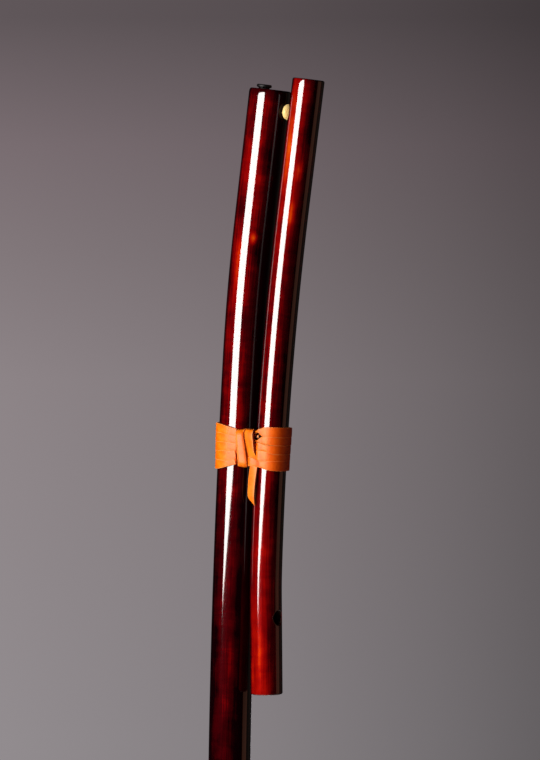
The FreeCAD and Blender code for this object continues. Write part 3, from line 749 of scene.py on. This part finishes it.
tail_strand = strand("lace_tail_strand", [
    (lace_place(between, 5, -4), lace_up, 8.0),
    (on_belt(2.43, -17.2, -2.0), slant_back, 8.0),
    (on_belt(2.38, -19.2, 2.2), back, 8.4),
    (on_belt(2.38, -14, 3.8), back, 8.8),
    (on_belt(2.38, 0, 4.0), back, 9.0),
    (on_belt(2.38, 14, 3.8), back, 8.8),
    (on_belt(2.38, 19.4, 2.2), back, 8.4),
    (on_belt(2.45, 15, -3.0), slant_back, 8.0),
    (lace_place(between, 6, 5.5), lace_up, 8.0),
    (lace_place(between, -6, 6.5), lace_up, 8.0),
    (on_belt(0.60, 15.0, -3.4), slant, 8.6),
    (on_belt(0.575, 17.4, -0.4), turned_in, 10.4),
    (on_belt(0.578, 16.6, 2.2), turned_in, 11.0),
    (on_belt(0.600, 11.5, 3.2), turned_in, 10.4),
    (on_belt(0.632, 5, 3.0), turned_in, 9.8),
    (on_belt(0.673, -3, 2.4), turned_in, 9.0),
    (on_belt(0.722, -9.5, 1.3), front, 8.7),
    (on_belt(0.745, -14.5, 0.9), front, 8.7),
    (on_belt(0.748, -19, 1.0), lace_across, 8.8),
    (on_belt(0.730, -29, 1.2), trailing, LACE_WIDTH),
    (on_belt(0.720, -38, 1.3), trailing, 8.7),
    (on_belt(0.722, -46.3, 1.0), trailing, 8.2),
    (on_belt(0.775, -51.2, 0.8), trailing, 4.2),
    (on_belt(0.828, -55.4, 0.6), trailing, 0.5),
], closed=False, crown=0.25)
# The lace's first end comes up between two turns, cut square and never dyed.
tucked = [on_belt(0.806, 12.4, lift) for lift in (-2.0, -1.3, -0.6, -0.1)]
tucked_end = strap("lace_tucked_end", tucked, [lace_up] * 4, [3.6, 3.2, 2.8, 2.3], closed=False,
                   thickness=1.6, raw=1.0)
for piece in lace_pieces + [over_strand, tail_strand, tucked_end]:
    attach(piece, "flute")
for piece in lace_pieces:
    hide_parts("lace_wrap")
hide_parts("lace_frapping")
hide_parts("lace_tail")
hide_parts("lace_wrap")

# ----------------------------------------------------------------------------------------------------------
# Studio. The flute stands on a pale round floor in a dim grey room. A large soft box close on the camera's
# left gives the long white line down each tube, a dim warm wall on the right gives the brown band near their
# right edges, and a soft box and a narrow strip behind light the back.

VIEW = math.radians(35)
CAMERA_ASIDE = 0.04187
CAMERA_DISTANCE = 3.0
CAMERA_HEIGHT = 1.36
CAMERA_FILM = 36
CAMERA_LENS = 200
LIGHTS_AIM = Vector((0.04, 0, 1.33))
FLOOR_RADIUS = 2.4
FLOOR_GAP = 0.0005

side = Vector((math.cos(VIEW), math.sin(VIEW), 0))
back_off = Vector((math.sin(VIEW), -math.cos(VIEW), 0))
camera = bpy.data.objects.new("camera", bpy.data.cameras.new("camera"))
bpy.context.scene.collection.objects.link(camera)
camera.location = side * CAMERA_ASIDE + back_off * CAMERA_DISTANCE + Vector((0, 0, CAMERA_HEIGHT))
camera.rotation_euler = (math.radians(90), 0, VIEW)
camera.data.sensor_fit = "HORIZONTAL"
camera.data.sensor_width = CAMERA_FILM
camera.data.lens = CAMERA_LENS
bpy.context.scene.camera = camera


def soft_box(name, azimuth, height, distance, width, tall, radiance, roll=0.0, tint="ffffff"):
    """A rectangular lamp that faces the flute and stands azimuth degrees round it, to the camera's right."""
    turn = VIEW + math.radians(azimuth)
    lamp = bpy.data.lights.new(name, "AREA")
    lamp.shape = "RECTANGLE"
    lamp.size, lamp.size_y = width, tall
    lamp.energy = radiance * math.pi * width * tall
    lamp.color = colour(tint)[:3]
    holder = bpy.data.objects.new(name, lamp)
    holder.location = Vector((LIGHTS_AIM.x + distance * math.sin(turn),
                              LIGHTS_AIM.y - distance * math.cos(turn), height))
    holder.rotation_euler = (LIGHTS_AIM - holder.location).to_track_quat("-Z", "Y").to_euler()
    holder.rotation_euler.rotate_axis("Z", math.radians(roll))
    bpy.context.scene.collection.objects.link(holder)
    return holder


soft_box("key", azimuth=-45.5, height=1.49, distance=1.8, width=1.18, tall=0.86, radiance=15.0, roll=8,
         tint="fffaf6")
# The key's tubes stand behind its cloth and shine through it, which only the polish shows.
key_core = soft_box("key_core", azimuth=-45.5, height=1.49, distance=1.82, width=1.19, tall=0.87,
                    radiance=11.5, roll=8, tint="fffaf6")
key_core.visible_diffuse = False
# The part of the wall beside the flute is warmer and brighter than the rest.
soft_box("wall", azimuth=109, height=1.33, distance=2.6, width=3.4, tall=2.6, radiance=0.045, tint="ffe2d2")
soft_box("wall_near", azimuth=88, height=1.33, distance=2.6, width=1.44, tall=2.6, radiance=0.46,
         tint="ffa482")
rear_fill = soft_box("rear_fill", azimuth=186, height=1.5, distance=2.2, width=1.3, tall=1.4, radiance=5.0)
rear_fill.visible_glossy = False
rear_strip = soft_box("rear_strip", azimuth=180, height=1.0, distance=2.2, width=0.12, tall=1.7, radiance=2.0)
for lamp in (rear_fill, rear_strip):
    lamp.visible_camera = False

world = bpy.data.worlds.new("studio")
bpy.context.scene.world = world
world.use_nodes = True
room = world.node_tree
look = add(room, "ShaderNodeTexCoord", out="Generated")
look_up = add(room, "ShaderNodeSeparateXYZ", {"Vector": look}, out="Z")
# The backdrop is grey, and darkens upwards.
climb = add(room, "ShaderNodeMapRange", {"Value": look_up}, {"From Min": -0.13, "From Max": 0.13})
drop = add(room, "ShaderNodeValToRGB", {"Fac": climb}, stops=[
    (0.04, colour("928c8f")), (0.5, colour("8d8487")), (0.66, colour("82787b")), (0.8, colour("796d71")),
    (0.96, colour("60575a"))])
# It is lit from the left, and falls into shade on the right.
aside = add(room, "ShaderNodeVectorMath", {0: look}, {1: side}, out="Value", operation="DOT_PRODUCT")
aside = add(room, "ShaderNodeMapRange", {"Value": aside}, {"From Min": -0.09, "From Max": 0.09})
shade = add(room, "ShaderNodeValToRGB", {"Fac": aside}, stops=[
    (0.0, [1.0] * 4), (0.5, [0.80] * 3 + [1]), (0.8, [0.60] * 3 + [1]), (1.0, [0.45] * 3 + [1])])
drop = add(room, "ShaderNodeVectorMath", {0: drop, 1: shade}, operation="MULTIPLY")
# Polish shows that backdrop only straight behind the flute, and elsewhere the dark room.
behind = add(room, "ShaderNodeVectorMath", {0: look}, {1: -back_off}, out="Value", operation="DOT_PRODUCT")
seen = add(room, "ShaderNodeMapRange", {"Value": behind}, {"From Min": 0.955, "From Max": 0.985})
mirrored = add(room, "ShaderNodeMix", {0: seen, 7: drop}, {6: colour("0b0a0a")}, out=2, data_type="RGBA")
polished = add(room, "ShaderNodeLightPath", out="Is Glossy Ray")
lit = add(room, "ShaderNodeMix", {0: polished, 7: mirrored}, {6: colour("2c2a2a")}, out=2, data_type="RGBA")
direct = add(room, "ShaderNodeMath", {0: add(room, "ShaderNodeLightPath", out="Is Camera Ray"),
                                      1: add(room, "ShaderNodeLightPath", out="Is Transmission Ray")},
             operation="MAXIMUM")
shown = add(room, "ShaderNodeMix", {0: direct, 6: lit, 7: drop}, out=2, data_type="RGBA")
fit(room, room.nodes["Background"], {"Color": shown})

bpy.ops.mesh.primitive_circle_add(vertices=128, radius=FLOOR_RADIUS, fill_type="NGON",
                                  location=(0.05, 0, cad_box[0][2] - FLOOR_GAP))
floor = bpy.context.object
floor.name = "floor"
# Matt paper: pale and even, and it fades into the room at its rim.
paper, paper_tree, paper_shader = new_material("floor_paper")
paper_place = add(paper_tree, "ShaderNodeTexCoord", out="Object")
paper_fibre = add(paper_tree, "ShaderNodeTexNoise", {"Vector": paper_place}, {"Scale": 40.0, "Detail": 4.0})
paper_white = add(paper_tree, "ShaderNodeValToRGB", {"Fac": paper_fibre},
                  stops=[(0.3, colour("cfccc8")), (0.7, colour("d9d6d2"))])
paper_reach = add(paper_tree, "ShaderNodeVectorMath", {0: paper_place}, out="Value", operation="LENGTH")
paper_fade = add(paper_tree, "ShaderNodeMapRange", {"Value": paper_reach},
                 {"From Min": 1.1, "From Max": 2.3, "To Min": 1.0, "To Max": 0.0},
                 interpolation_type="SMOOTHSTEP")
fit(paper_tree, paper_shader, {"Base Color": paper_white, "Alpha": paper_fade}, {"Roughness": 0.85})
floor.data.materials.append(paper)

bpy.context.scene.view_settings.view_transform = "Standard"
